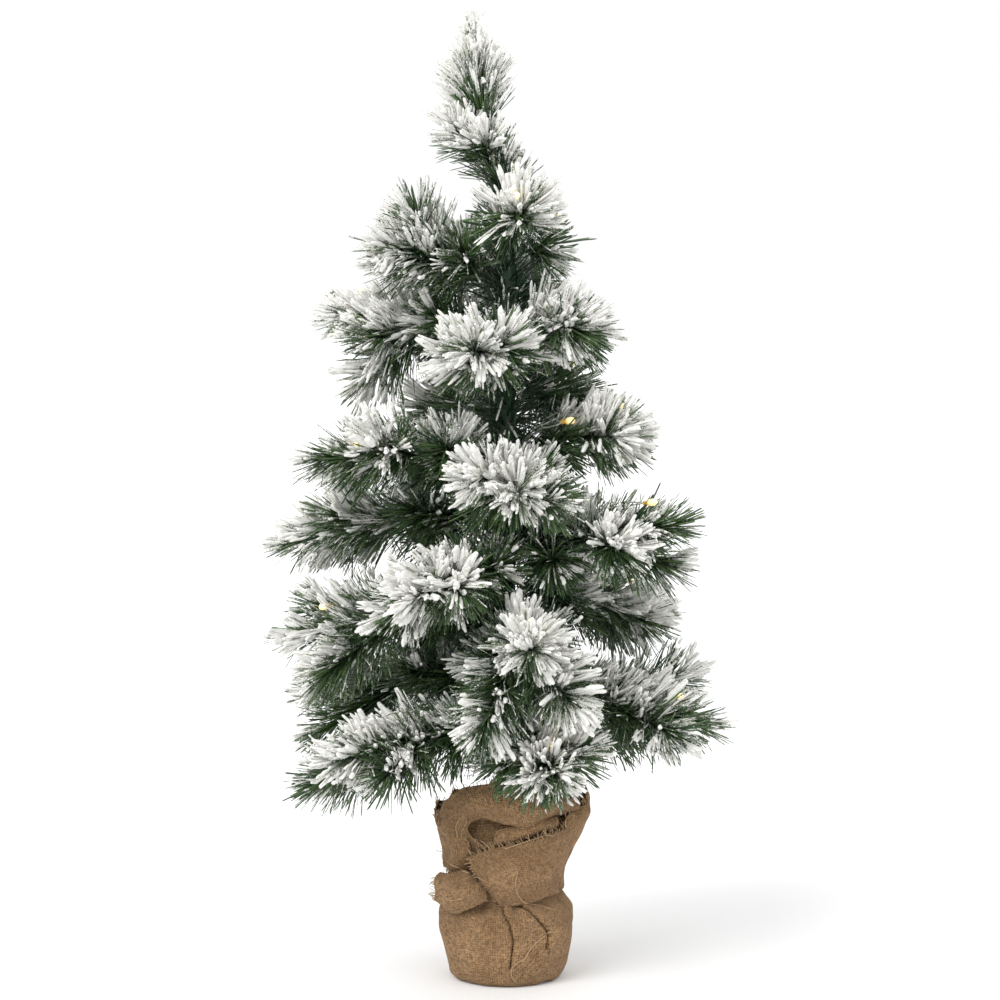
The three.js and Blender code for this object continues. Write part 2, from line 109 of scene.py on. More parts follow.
# The light string: on each branch listed, how far along its stem a lamp is, and where it is from the stem, in mm.
LAMP_RADIUS = 2.2 * MM
LAMP_LENGTH = 9 * MM
LEAD_RADIUS = 0.5 * MM
OVER_STEM = (0, 0, 15)
LAMPS = (
    *((f"branch_{number:02d}", 0.74, OVER_STEM) for number in (1, 2, 4, 6, 8, 9, 11, 13, 16, 20, 22, 24)),
    ("branch_25", 0.55, (-4, -14, 9)),
    ("branch_16", 0.34, (2, -16, 10)),
    ("branch_10", 0.36, (4, -14, 8)),
    ("branch_15", 0.62, (-4, -16, 8)),
    ("branch_07", 0.62, (0, 6, 16)),
    ("branch_18", 0.6, (6, 4, 16)),
    ("branch_05", 0.72, (-4, -12, 12)),
    ("branch_12", 0.5, (4, 8, 14)),
)
LEADER_ROUTE = ((0, 0), (-9, 24), (-16, 55), (-20, 84), (-23, 114.5))
LEADER_SPRIGS = ((-70, 38, 44), (-18, 40, 30))

# The burlap, in mm: its thread spacing and thickness, and the yarn that frays from it.
THREAD = 1.5
CLOTH = 0.9
YARN_RADIUS = 0.24 * MM
# The sack's outline as (radius, height), up to the tie, then the collar's rings of (radius, height) from there
# to its rim: front, front right, right, back right, back, back left, left, front left, front.
NECK_SHARE = 0.62
BAG_OUTLINE = [Vector(point) for point in (
    (0, 0.5), (16, 0.5), (28, 0.6), (34.2, 2.4), (37, 9), (39.2, 18), (41.2, 29), (41.6, 38), (39.6, 45), (34.8, 50.5),
    (31.8, 54))]
COLLAR_RINGS = [[Vector(point) for point in ring] for ring in (
    ((31.8, 54), (31.8, 54), (31.8, 54), (31.8, 54), (31.8, 54), (31.8, 54), (31.8, 54), (31.8, 54), (31.8, 54)),
    ((32, 57), (35, 56.5), (34.6, 56.5), (34.5, 57), (34.5, 57), (34.5, 57), (34.5, 57), (34, 57), (32, 57)),
    ((31.5, 62), (34.5, 65), (35, 67), (35.5, 67), (36, 66), (35.5, 67), (36.5, 68), (34, 65), (31.5, 62)),
    ((31.5, 70), (39, 77), (41, 82), (40, 82), (39, 80), (39, 82), (38, 82), (35, 76), (31.5, 70)),
    ((32, 78), (43.5, 88), (48, 98), (44.5, 99), (42, 96), (42, 97), (42.5, 94), (36, 87), (32, 78)),
    ((33, 83), (45, 94), (51, 107), (46, 109), (44, 106), (43, 104), (45, 100), (39, 92), (33, 83)),
    ((34, 84), (44, 98), (49, 114), (45, 115), (43, 112), (42, 109), (45.5, 104), (40, 95), (34, 84)),
)]
# Creases in the bag's front: (x, z) points, how deep and how wide, and how far the right side stands over it.
CREASES = (
    (((-2.6, 51), (-1.5, 47), (2.5, 40), (4.4, 32), (4, 24), (2.5, 14)), 3.0, 1.2, 1.2),
    (((8, 51.5), (13, 49), (20.5, 43), (25.5, 37.5), (27, 32), (25, 25)), 3.6, 1.3, 2.0),
    (((-38.5, 50), (-39, 42), (-37, 32)), 2.6, 1.5, 0.8),
    (((-31, 47), (-31.5, 34), (-30, 14)), 0.9, 1.8, 0.5),
    (((20, 24), (13, 15), (8, 6)), 0.7, 2.2, 0.4),
)
# Sheets over the sack, as rows of (x, y, z) from the lower edge to the upper, each from left to right.
FRONT_PANEL = (
    ((-3, -34, 50.5), (8, -36, 52), (19, -33, 54.5), (28, -25, 59), (32, -12, 64)),
    ((-12, -36, 62.5), (3, -41, 64), (17, -39, 67), (30, -29, 71), (36, -12, 74)),
    ((-18.5, -36, 72), (-2, -42, 77), (15, -42, 81), (31, -33, 86), (41, -14, 88)),
    ((-24, -33, 82), (-8, -38, 88), (10, -40, 91.5), (27, -36, 95.5), (43, -20, 101)),
)
DRAPE = (
    ((-24, -27, 72), (-22, -31, 84), (-24, -32, 99), (-17, -36, 106), (-4, -38, 104), (12, -37, 101), (27, -31, 106),
     (37, -18, 106)),
    ((-33, -26, 71), (-32, -32, 84), (-35, -30, 101), (-24, -38, 114), (-6, -42, 115), (14, -41, 113),
     (32, -33, 113), (43, -18, 108)),
    ((-39, -14, 72), (-40, -16, 86), (-42, -14, 104), (-32, -28, 121), (-8, -33, 127), (14, -33, 126), (34, -26, 119),
     (46, -12, 111)),
)
ROLL = (
    ((-6, -31, 86), (4, -34, 90), (16, -34, 95), (30, -29, 99)),
    ((-8, -36, 90), (2, -39, 95), (15, -39, 99), (32, -32, 103)),
    ((-7, -34, 98), (2, -35, 101), (14, -35, 103), (31, -29, 106)),
)
KNOT_FLAP = (
    ((-41, -15, 49), (-34, -30, 46), (-22, -39, 50.5), (-12, -40, 57)),
    ((-44.5, -19, 52), (-35, -37, 52), (-24, -41, 56), (-12, -40, 58)),
    ((-43.5, -22, 58), (-35, -36, 60), (-25, -43, 63), (-12, -39, 59)),
    ((-44.5, -19, 64), (-34, -37, 66), (-24, -38, 69), (-13, -37, 60.5)),
    ((-41, -16, 68), (-35, -30, 71), (-25, -33, 73.5), (-15, -35, 64)),
)
# The shaded cloth inside the collar, seen through its openings.
INNER_CLOTH = (
    ((-34, -19, 80), (-18, -29, 78), (0, -32, 80), (18, -30, 84), (36, -18, 90)),
    ((-36, -16, 92), (-20, -25, 93), (-4, -28, 94), (14, -27, 97), (34, -18, 101)),
    ((-33, -14, 108), (-16, -21, 110), (0, -23, 111), (15, -22, 111), (30, -16, 110)),
)
# Loose threads that lie on the cloth, as (x, z) seen from the front.
LOOSE_THREADS = (
    ((7, 75), (5.5, 66), (8, 58), (12, 53.5), (22, 50), (31, 47)),
    ((33, 34), (27, 34.5), (20, 30.7), (14.7, 25.5), (11, 19.5), (6, 16.8), (3, 12.5), (3.5, 7.3), (6, 3.8)),
    ((-37, 76.5), (-28, 73.5), (-19, 70.5), (-14, 68)),
    ((-30, 94), (-31, 101), (-27, 107), (-24.5, 104), (-28, 95), (-23, 91)),
    ((-1, 88), (9, 92), (17, 96), (29, 95.5)),
    ((-41, 58), (-34, 56), (-27, 58)),
)


# ---------------------------------------------------------------- materials

def group_of(name, inputs, outputs):
    """An empty shader node group with named sockets: {name: default} in, {name: socket type} out."""
    tree = bpy.data.node_groups.new(name, "ShaderNodeTree")
    for label, value in inputs.items():
        socket = tree.interface.new_socket(label, in_out="INPUT", socket_type="NodeSocketFloat")
        socket.default_value = value
    for label, kind in outputs.items():
        tree.interface.new_socket(label, in_out="OUTPUT", socket_type=kind)
    return tree, tree.nodes.new("NodeGroupInput"), tree.nodes.new("NodeGroupOutput")


def put(tree, kind, inputs=None, **settings):
    """A node with its settings, and its inputs set to values or linked to sockets."""
    node = tree.nodes.new(kind)
    for name, value in settings.items():
        setattr(node, name, value)
    for name, value in (inputs or {}).items():
        if isinstance(value, bpy.types.NodeSocket):
            tree.links.new(value, node.inputs[name])
        else:
            node.inputs[name].default_value = value
    return node


def math_of(tree, operation, a, b=0.0, c=0.0, clamp=False):
    node = put(tree, "ShaderNodeMath", {0: a, 1: b, 2: c}, operation=operation, use_clamp=clamp)
    return node.outputs[0]


def mixed(tree, share, first, second):
    """A colour between two colours."""
    node = put(tree, "ShaderNodeMix", data_type="RGBA")
    for index, value in ((0, share), (6, first), (7, second)):
        if isinstance(value, bpy.types.NodeSocket):
            tree.links.new(value, node.inputs[index])
        elif index:
            node.inputs[index].default_value = (*value, 1)
        else:
            node.inputs[index].default_value = value
    return node.outputs[2]


def make_grain():
    """Fine irregular grain for moulded and painted surfaces."""
    tree, given, out = group_of(
        "fine grain",
        {"Scale": 400.0, "Strength": 0.2},
        {"Mask": "NodeSocketFloat", "Normal": "NodeSocketVector"},
    )
    place = put(tree, "ShaderNodeTexCoord").outputs["Object"]
    fine = put(tree, "ShaderNodeTexNoise", {"Vector": place, "Scale": given.outputs["Scale"], "Detail": 6.0})
    bump = put(tree, "ShaderNodeBump", {"Height": fine.outputs["Fac"], "Strength": given.outputs["Strength"],
                                        "Distance": 0.0003})
    tree.links.new(fine.outputs["Fac"], out.inputs["Mask"])
    tree.links.new(bump.outputs["Normal"], out.inputs["Normal"])
    return tree


def make_flock_cover():
    """Where sprayed flock sticks: the piece's own snow attribute broken up into specks and patches."""
    tree, given, out = group_of(
        "flock cover",
        {"Specks": 900.0, "Patches": 130.0, "Sharpness": 5.0, "Offset": 0.0},
        {"Mask": "NodeSocketFloat"},
    )
    place = put(tree, "ShaderNodeTexCoord").outputs["Object"]
    snow = put(tree, "ShaderNodeAttribute", attribute_name="snow").outputs["Fac"]
    specks = put(tree, "ShaderNodeTexNoise", {"Vector": place, "Scale": given.outputs["Specks"], "Detail": 3.0})
    patches = put(tree, "ShaderNodeTexNoise", {"Vector": place, "Scale": given.outputs["Patches"], "Detail": 2.0})
    broken = math_of(tree, "ADD", specks.outputs["Fac"], patches.outputs["Fac"])
    height = math_of(tree, "ADD", math_of(tree, "SUBTRACT", broken, 1.5), snow)
    height = math_of(tree, "ADD", height, given.outputs["Offset"])
    mask = math_of(tree, "MULTIPLY_ADD", height, given.outputs["Sharpness"], 0.5, clamp=True)
    tree.links.new(mask, out.inputs["Mask"])
    return tree


def make_weave():
    """A coarse plain weave on the piece's UV map, which is in threads."""
    tree, given, out = group_of(
        "jute weave",
        {"Slub": 1.1},
        {"Height": "NodeSocketFloat", "Shade": "NodeSocketFloat", "Gap": "NodeSocketFloat"},
    )
    uv = put(tree, "ShaderNodeUVMap", uv_map="weave").outputs["UV"]
    drift = put(tree, "ShaderNodeTexNoise", {"Vector": uv, "Scale": 0.35, "Detail": 2.0})
    pushed = put(tree, "ShaderNodeVectorMath", {0: drift.outputs["Color"], "Scale": 0.9}, operation="SCALE")
    bent = put(tree, "ShaderNodeVectorMath", {0: uv, 1: pushed.outputs[0]}, operation="ADD")
    parts = put(tree, "ShaderNodeSeparateXYZ", {0: bent.outputs[0]})
    across = math_of(tree, "MULTIPLY", parts.outputs["X"], math.pi)
    down = math_of(tree, "MULTIPLY", parts.outputs["Y"], math.pi)
    warp = math_of(tree, "ABSOLUTE", math_of(tree, "SINE", across))
    weft = math_of(tree, "ABSOLUTE", math_of(tree, "SINE", down))
    # which thread is on top alternates from crossing to crossing
    turn = math_of(tree, "MULTIPLY", math_of(tree, "COSINE", across), math_of(tree, "COSINE", down))
    over = math_of(tree, "MULTIPLY_ADD", turn, 1.6, 0.5, clamp=True)
    level = math_of(tree, "MULTIPLY", warp, over)
    under = math_of(tree, "MULTIPLY", weft, math_of(tree, "SUBTRACT", 1.0, over))
    height = math_of(tree, "ADD", level, under)
    slub = put(tree, "ShaderNodeTexNoise", {"Vector": bent.outputs[0], "Scale": 0.9, "Detail": 5.0})
    rough = math_of(tree, "MULTIPLY", slub.outputs["Fac"], given.outputs["Slub"])
    height = math_of(tree, "ADD", height, rough)
    fibre = put(tree, "ShaderNodeTexNoise", {"Vector": bent.outputs[0], "Scale": 5.0, "Detail": 4.0})
    shade = math_of(tree, "MULTIPLY_ADD", math_of(tree, "ADD", fibre.outputs["Fac"], slub.outputs["Fac"]), 2.4, -1.9)
    gap = math_of(tree, "MULTIPLY", warp, weft)
    loose = math_of(tree, "MULTIPLY", slub.outputs["Fac"], 1.3)
    gap = math_of(tree, "SUBTRACT", 1.0, math_of(tree, "MULTIPLY_ADD", gap, 3.2, loose, clamp=True))
    tree.links.new(height, out.inputs["Height"])
    tree.links.new(shade, out.inputs["Shade"])
    tree.links.new(gap, out.inputs["Gap"])
    return tree


GRAIN = make_grain()
FLOCK_COVER = make_flock_cover()
WEAVE = make_weave()


def new_material(name):
    """A material, its node tree and its Principled shader."""
    material = bpy.data.materials.new(name)
    material.use_nodes = True
    tree = material.node_tree
    return material, tree, tree.nodes["Principled BSDF"]


def placed(tree, group, **values):
    node = tree.nodes.new("ShaderNodeGroup")
    node.node_tree = group
    for name, value in values.items():
        node.inputs[name].default_value = value
    return node


def needle_material(name, dark, light, offset):
    material, tree, shader = new_material(name)
    cover = placed(tree, FLOCK_COVER, Offset=offset)
    tone = put(tree, "ShaderNodeAttribute", attribute_name="tone").outputs["Fac"]
    green = mixed(tree, tone, dark, light)
    colour = mixed(tree, cover.outputs["Mask"], green, (0.87, 0.865, 0.82))
    tree.links.new(colour, shader.inputs["Base Color"])
    dull = math_of(tree, "MULTIPLY_ADD", cover.outputs["Mask"], 0.5, 0.42)
    tree.links.new(dull, shader.inputs["Roughness"])
    bump = put(tree, "ShaderNodeBump", {"Height": cover.outputs["Mask"], "Strength": 0.6, "Distance": 0.0003})
    tree.links.new(bump.outputs["Normal"], shader.inputs["Normal"])
    return material


def flock_material():
    """Clumped white flock: soft, matt, slightly translucent fibres."""
    material, tree, shader = new_material("white flock")
    place = put(tree, "ShaderNodeTexCoord").outputs["Object"]
    fuzz = put(tree, "ShaderNodeTexNoise", {"Vector": place, "Scale": 1500.0, "Detail": 4.0})
    lumps = put(tree, "ShaderNodeTexNoise", {"Vector": place, "Scale": 260.0, "Detail": 3.0})
    ramp = put(tree, "ShaderNodeMapRange", {0: lumps.outputs["Fac"], 1: 0.3, 2: 0.62})
    colour = mixed(tree, ramp.outputs[0], (0.81, 0.81, 0.765), (0.95, 0.945, 0.91))
    tree.links.new(colour, shader.inputs["Base Color"])
    height = math_of(tree, "ADD", fuzz.outputs["Fac"], lumps.outputs["Fac"])
    bump = put(tree, "ShaderNodeBump", {"Height": height, "Strength": 0.9, "Distance": 0.0008})
    tree.links.new(bump.outputs["Normal"], shader.inputs["Normal"])
    shader.inputs["Roughness"].default_value = 1.0
    shader.inputs["Subsurface Weight"].default_value = 0.15
    shader.inputs["Subsurface Radius"].default_value = (0.002, 0.002, 0.002)
    return material


def burlap_material(name, light, dark):
    material, tree, shader = new_material(name)
    weave = placed(tree, WEAVE)
    place = put(tree, "ShaderNodeTexCoord").outputs["Object"]
    patches = put(tree, "ShaderNodeTexNoise", {"Vector": place, "Scale": 60.0, "Detail": 4.0})
    worn = put(tree, "ShaderNodeMapRange", {0: patches.outputs["Fac"], 1: 0.3, 2: 0.7})
    base = mixed(tree, worn.outputs[0], dark, light)
    streak = math_of(tree, "MULTIPLY", weave.outputs["Shade"], 1.0, clamp=True)
    fibres = mixed(tree, streak, tuple(0.5 * v for v in dark), base)
    # Painted shade: the cloth's colour is darkened in its creases and valleys, by the vertex attribute that marks how
    # deep they are.
    painted_shade = put(tree, "ShaderNodeAttribute", attribute_name="painted_shade").outputs["Fac"]
    shaded_fibres = mixed(tree, painted_shade, fibres, tuple(0.22 * v for v in dark))
    colour = mixed(tree, weave.outputs["Gap"], shaded_fibres, tuple(0.12 * v for v in dark))
    tree.links.new(colour, shader.inputs["Base Color"])
    bump = put(tree, "ShaderNodeBump", {"Height": weave.outputs["Height"], "Strength": 1.0, "Distance": 0.0009})
    tree.links.new(bump.outputs["Normal"], shader.inputs["Normal"])
    shader.inputs["Roughness"].default_value = 0.95
    shader.inputs["Specular IOR Level"].default_value = 0.2
    shader.inputs["Sheen Weight"].default_value = 0.05
    return material


def fibre_material():
    """Loose jute yarn, for frays and stray threads."""
    material, tree, shader = new_material("jute yarn")
    place = put(tree, "ShaderNodeTexCoord").outputs["Object"]
    streaks = put(tree, "ShaderNodeTexNoise", {"Vector": place, "Scale": 500.0, "Detail": 4.0})
    colour = mixed(tree, streaks.outputs["Fac"], (0.22, 0.135, 0.065), (0.62, 0.44, 0.26))
    tree.links.new(colour, shader.inputs["Base Color"])
    bump = put(tree, "ShaderNodeBump", {"Height": streaks.outputs["Fac"], "Strength": 0.5, "Distance": 0.0003})
    tree.links.new(bump.outputs["Normal"], shader.inputs["Normal"])
    shader.inputs["Roughness"].default_value = 0.95
    return material


def grained_material(name, first, second, roughness, metallic=0.0, scale=400.0, strength=0.2):
    """A moulded, cast or painted surface: two tones mottled by the fine grain."""
    material, tree, shader = new_material(name)
    grain = placed(tree, GRAIN, Scale=scale, Strength=strength)
    spread = put(tree, "ShaderNodeMapRange", {0: grain.outputs["Mask"], 1: 0.35, 2: 0.65})
    tree.links.new(mixed(tree, spread.outputs[0], first, second), shader.inputs["Base Color"])
    dull = math_of(tree, "MULTIPLY_ADD", grain.outputs["Mask"], 0.25, roughness - 0.12)
    tree.links.new(dull, shader.inputs["Roughness"])
    tree.links.new(grain.outputs["Normal"], shader.inputs["Normal"])
    shader.inputs["Metallic"].default_value = metallic
    return material


def lamp_material():
    """A warm white lamp: amber at its base and bright at its end, by the lit attribute."""
    material, tree, shader = new_material("lamp glow")
    lit = put(tree, "ShaderNodeAttribute", attribute_name="lit").outputs["Fac"]
    colour = mixed(tree, lit, (0.55, 0.36, 0.08), (1.0, 0.86, 0.5))
    tree.links.new(colour, shader.inputs["Base Color"])
    glow = mixed(tree, lit, (0.25, 0.13, 0.01), (1.0, 0.80, 0.36))
    tree.links.new(glow, shader.inputs["Emission Color"])
    shader.inputs["Emission Strength"].default_value = 0.9
    shader.inputs["Roughness"].default_value = 0.15
    shader.inputs["Coat Weight"].default_value = 0.5
    return material


NEEDLES = needle_material("needles", (0.014, 0.048, 0.015), (0.1, 0.172, 0.058), 0.02)
# Painted shade: the trunk's needles take darker greens than the branch needles, for the shade inside the tree; their
# flock offset is a little lower too.
SHADED_INNER_NEEDLES = needle_material("inner needles", (0.007, 0.03, 0.012), (0.035, 0.09, 0.036), -0.05)
FLOCK = flock_material()
BURLAP = burlap_material("burlap", (0.58, 0.36, 0.185), (0.4, 0.235, 0.112))
YARN = fibre_material()
WIRE = grained_material("green stem wire", (0.02, 0.05, 0.025), (0.06, 0.1, 0.05), 0.45, 0.3, 900.0)
LEAD = grained_material("pale lead", (0.42, 0.44, 0.36), (0.62, 0.63, 0.55), 0.35, 0.0, 700.0, 0.1)
LAMP = lamp_material()
CUP = grained_material("cup plastic", (0.012, 0.012, 0.012), (0.03, 0.03, 0.03), 0.55)
CEMENT = grained_material("cement", (0.32, 0.30, 0.27), (0.52, 0.50, 0.46), 0.9, 0.0, 300.0, 0.8)
POLE = grained_material("painted pole", (0.012, 0.04, 0.02), (0.03, 0.07, 0.035), 0.4, 0.2, 500.0)
WRAP = grained_material("wound strip", (0.006, 0.026, 0.011), (0.03, 0.07, 0.03), 0.55, 0.0, 250.0, 0.5)
BOX = grained_material("box plastic", (0.01, 0.035, 0.018), (0.02, 0.055, 0.028), 0.5, 0.0, 800.0, 0.15)
BUTTON = grained_material("button plastic", (0.01, 0.01, 0.01), (0.03, 0.03, 0.03), 0.5, 0.0, 800.0, 0.15)
CELL = grained_material("cell sleeve", (0.5, 0.33, 0.08), (0.6, 0.42, 0.13), 0.3, 0.6, 700.0, 0.05)
CELL_END = grained_material("cell end", (0.55, 0.55, 0.55), (0.7, 0.7, 0.7), 0.3, 1.0, 700.0, 0.05)


# ---------------------------------------------------------------- shared shapes

def add_piece(name, bm, material, body, smooth=True):
    """A finished piece from a bmesh, riding on a body if one is given."""
    mesh = bpy.data.meshes.new(name)
    for face in bm.faces:
        face.smooth = smooth
    bm.to_mesh(mesh)
    bm.free()
    mesh.materials.append(material)
    piece = bpy.data.objects.new(name, mesh)
    bpy.context.scene.collection.objects.link(piece)
    if body:
        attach(piece, body)
    return piece


def direction(turn, rise):
    """The unit vector at degrees round from the front and degrees above level."""
    t = math.radians(turn)
    r = math.radians(rise)
    return Vector((math.sin(t) * math.cos(r), -math.cos(t) * math.cos(r), math.sin(r)))


class Line:
    """A smooth line through points, read by the distance along it."""

    def __init__(self, points):
        self.points = [Vector(p) for p in points]
        steps = [(b - a).length for a, b in zip(self.points, self.points[1:])]
        self.marks = [0.0]
        for step in steps:
            self.marks.append(self.marks[-1] + step)
        self.length = self.marks[-1]

    def at(self, distance):
        """The point and the direction there."""
        distance = min(max(distance, 0.0), self.length)
        i = 0
        while i < len(self.points) - 2 and self.marks[i + 1] < distance:
            i += 1
        first, second = self.points[i], self.points[i + 1]
        share = (distance - self.marks[i]) / max(self.marks[i + 1] - self.marks[i], 1e-9)
        return first.lerp(second, share), (second - first).normalized()


def curve_at(points, share):
    """A point on the smooth curve through the given vectors, at a share of the way from first to last."""
    span = share * (len(points) - 1)
    i = min(int(span), len(points) - 2)
    t = span - i
    b, c = points[i], points[i + 1]
    a = points[i - 1] if i else 2 * b - c
    d = points[i + 2] if i + 2 < len(points) else 2 * c - b
    return 0.5 * (2 * b + (c - a) * t + (2 * a - 5 * b + 4 * c - d) * t * t + (3 * b - a - 3 * c + d) * t ** 3)


def catmull(points, steps=8):
    """Points of a smooth curve through the given points."""
    points = [Vector(p) for p in points]
    count = steps * (len(points) - 1)
    return [curve_at(points, i / count) for i in range(count + 1)]


def tubes(bm, routes, radius, sides=1):
    """Adds a closed round tube along each route. sides: 0 gives four sides, 1 gives six."""
    curve = bpy.data.curves.new("routes", "CURVE")
    curve.dimensions = "3D"
    curve.bevel_depth = radius
    curve.bevel_resolution = sides
    curve.use_fill_caps = True
    for route in routes:
        spline = curve.splines.new("POLY")
        spline.points.add(len(route) - 1)
        for point, place in zip(spline.points, route):
            point.co = (*place, 1)
    holder = bpy.data.objects.new("routes", curve)
    mesh = bpy.data.meshes.new_from_object(holder)
    bm.from_mesh(mesh)
    bpy.data.objects.remove(holder)
    bpy.data.curves.remove(curve)
    bpy.data.meshes.remove(mesh)


def append(bm, part, matrix):
    """Moves a finished bmesh into another, placed by the matrix."""
    mesh = bpy.data.meshes.new("part")
    part.to_mesh(mesh)
    part.free()
    mesh.transform(matrix)
    bm.from_mesh(mesh)
    bpy.data.meshes.remove(mesh)


def turned(bm, profile, matrix, steps=16):
    """Adds an outline of (radius, height) points spun round its axis and placed by the matrix."""
    part = bmesh.new()
    points = [part.verts.new((radius, 0, height)) for radius, height in profile]
    edges = [part.edges.new(pair) for pair in zip(points, points[1:])]
    bmesh.ops.spin(part, geom=points + edges, cent=(0, 0, 0), axis=(0, 0, 1), angle=2 * math.pi,
                   steps=steps, use_merge=True)
    bmesh.ops.remove_doubles(part, verts=part.verts[:], dist=1e-6)
    bmesh.ops.recalc_face_normals(part, faces=part.faces[:])
    append(bm, part, matrix)


class Repeated:
    """A small shape that is copied many times into a bmesh, with its own attribute values and bake cell."""

    def __init__(self, bm, attributes):
        self.mesh = bpy.data.meshes.new("repeated")
        bm.to_mesh(self.mesh)
        bm.free()
        count = len(self.mesh.vertices)
        self.base = np.zeros(count * 3)
        self.mesh.vertices.foreach_get("co", self.base)
        self.base = self.base.reshape(-1, 3)
        self.along = np.clip(self.base[:, 2], 0, 1)
        for name in attributes:
            self.mesh.attributes.new(name, "FLOAT", "POINT")
        layer = self.mesh.uv_layers.get("OFBake")
        self.cells = np.zeros(len(self.mesh.loops) * 2)
        if layer:
            layer.uv.foreach_get("vector", self.cells)
        self.cells = self.cells.reshape(-1, 2)
        self.has_cells = layer is not None

    def copy_into(self, bm, matrix, lift=0.0, cell=None, **values):
        """Adds a copy placed by a 4x4 matrix, bent by the lift. A value is a number or one for each vertex."""
        m = np.array(matrix)
        base = self.base.copy()
        base[:, 1] += lift * self.along ** 2
        self.mesh.vertices.foreach_set("co", (base @ m[:3, :3].T + m[:3, 3]).ravel())
        for name, value in values.items():
            spread = np.full(len(self.base), value) if np.isscalar(value) else value
            self.mesh.attributes[name].data.foreach_set("value", spread)
        if self.has_cells and cell:
            (column, row), grid = cell
            uv = (self.cells + (column, row)) / grid
            self.mesh.uv_layers["OFBake"].uv.foreach_set("vector", uv.ravel())
        bm.from_mesh(self.mesh)


def needle_shape(bend, twist):
    """One cut strip: a flat three-sided blade with a pointed end, one unit wide and one long."""
    bm = bmesh.new()
    bmesh.ops.create_cone(bm, cap_ends=True, segments=3, radius1=0.5, radius2=0.0, depth=1.0,
                          matrix=Matrix.Translation((0, 0, 0.5)))
    for height in (0.4, 0.93):
        cut = {"plane_co": (0, 0, height), "plane_no": (0, 0, 1)}
        bmesh.ops.bisect_plane(bm, geom=bm.verts[:] + bm.edges[:] + bm.faces[:], **cut)
    layer = bm.loops.layers.uv.new("OFBake")
    for face in bm.faces:
        middle = face.calc_center_median()
        sector = math.floor((math.atan2(middle.y, middle.x) + math.pi) / (2 * math.pi) * 3) % 3
        for loop in face.loops:
            x, y, z = loop.vert.co
            if abs(face.normal.z) > 0.9:
                loop[layer].uv = (0.04 + 0.03 * (x + 0.5), 0.02 + 0.03 * (y + 0.5))
                continue
            swing = (math.atan2(y, x) + math.pi) / (2 * math.pi) * 3 - sector
            swing = swing - 3 if swing > 2 else swing + 3 if swing < -1 else swing
            share = 0.5 if z > 0.99 else min(max(swing, 0.0), 1.0)
            loop[layer].uv = ((sector + 0.1 + 0.8 * share) / 3, 0.08 + 0.88 * z)
    for vert in bm.verts:
        z = vert.co.z
        full = 0.5 * (1 - z)
        size = 1.0 if full < 1e-4 else (0.4 + 0.12 * math.sin(z * 3)) / full
        turn = Matrix.Rotation(twist * z, 3, "Z")
        flat = turn @ Vector((vert.co.x * size, vert.co.y * size * 0.34, 0))
        vert.co = Vector((flat.x, flat.y, z))
    for face in bm.faces:
        face.smooth = True
    return bm, bend


def make_needles():
    """Blades with different bends. A bend is in needle lengths, so it is added per copy."""
    made = []
    for bend, twist in ((0.06, 0.4), (0.12, -0.5), (0.02, 0.9), (-0.05, -0.3)):
        bm, _ = needle_shape(bend, twist)
        made.append((Repeated(bm, ("snow", "tone")), bend))
    return made


def lump_shape(seed, knots):
    """A lumpy finger of flock, one unit long, its thickness about one unit either side."""
    bm = bmesh.new()
    bmesh.ops.create_uvsphere(bm, u_segments=7, v_segments=8, radius=1.0)
    for vert in bm.verts:
        z = vert.co.z * 0.5 + 0.5
        around = math.hypot(vert.co.x, vert.co.y)
        keep = around ** 0.55 / around if around > 1e-4 else 0.0
        bulge = 0.75 + 0.5 * noise.noise(Vector((vert.co.x * 1.3, vert.co.y * 1.3, z * knots + seed)))
        sway = 0.5 * noise.noise(Vector((seed * 3.1, z * 1.7, 4.0)))
        lift = 0.5 * noise.noise(Vector((z * 1.7, seed * 2.3, 9.0)))
        vert.co = Vector((vert.co.x * keep * bulge + sway, vert.co.y * keep * bulge + lift, z))
    for face in bm.faces:
        face.smooth = True
    return bm


NEEDLE_SHAPES = make_needles()
FINGERS = [Repeated(lump_shape(seed * 1.7, 3.0 + seed % 3), ()) for seed in range(6)]


def basis(along, toward):
    """A rotation whose Z is along, and whose Y leans toward the other direction."""
    z = along.normalized()
    y = toward - z * toward.dot(z)
    y = y.normalized() if y.length > 1e-4 else z.orthogonal().normalized()
    return y.cross(z), y, z


def framed(x, y, z, place, sizes):
    return Matrix(((x.x * sizes[0], y.x * sizes[1], z.x * sizes[2], place.x),
                   (x.y * sizes[0], y.y * sizes[1], z.y * sizes[2], place.y),
                   (x.z * sizes[0], y.z * sizes[1], z.z * sizes[2], place.z),
                   (0, 0, 0, 1)))


# ---------------------------------------------------------------- foliage

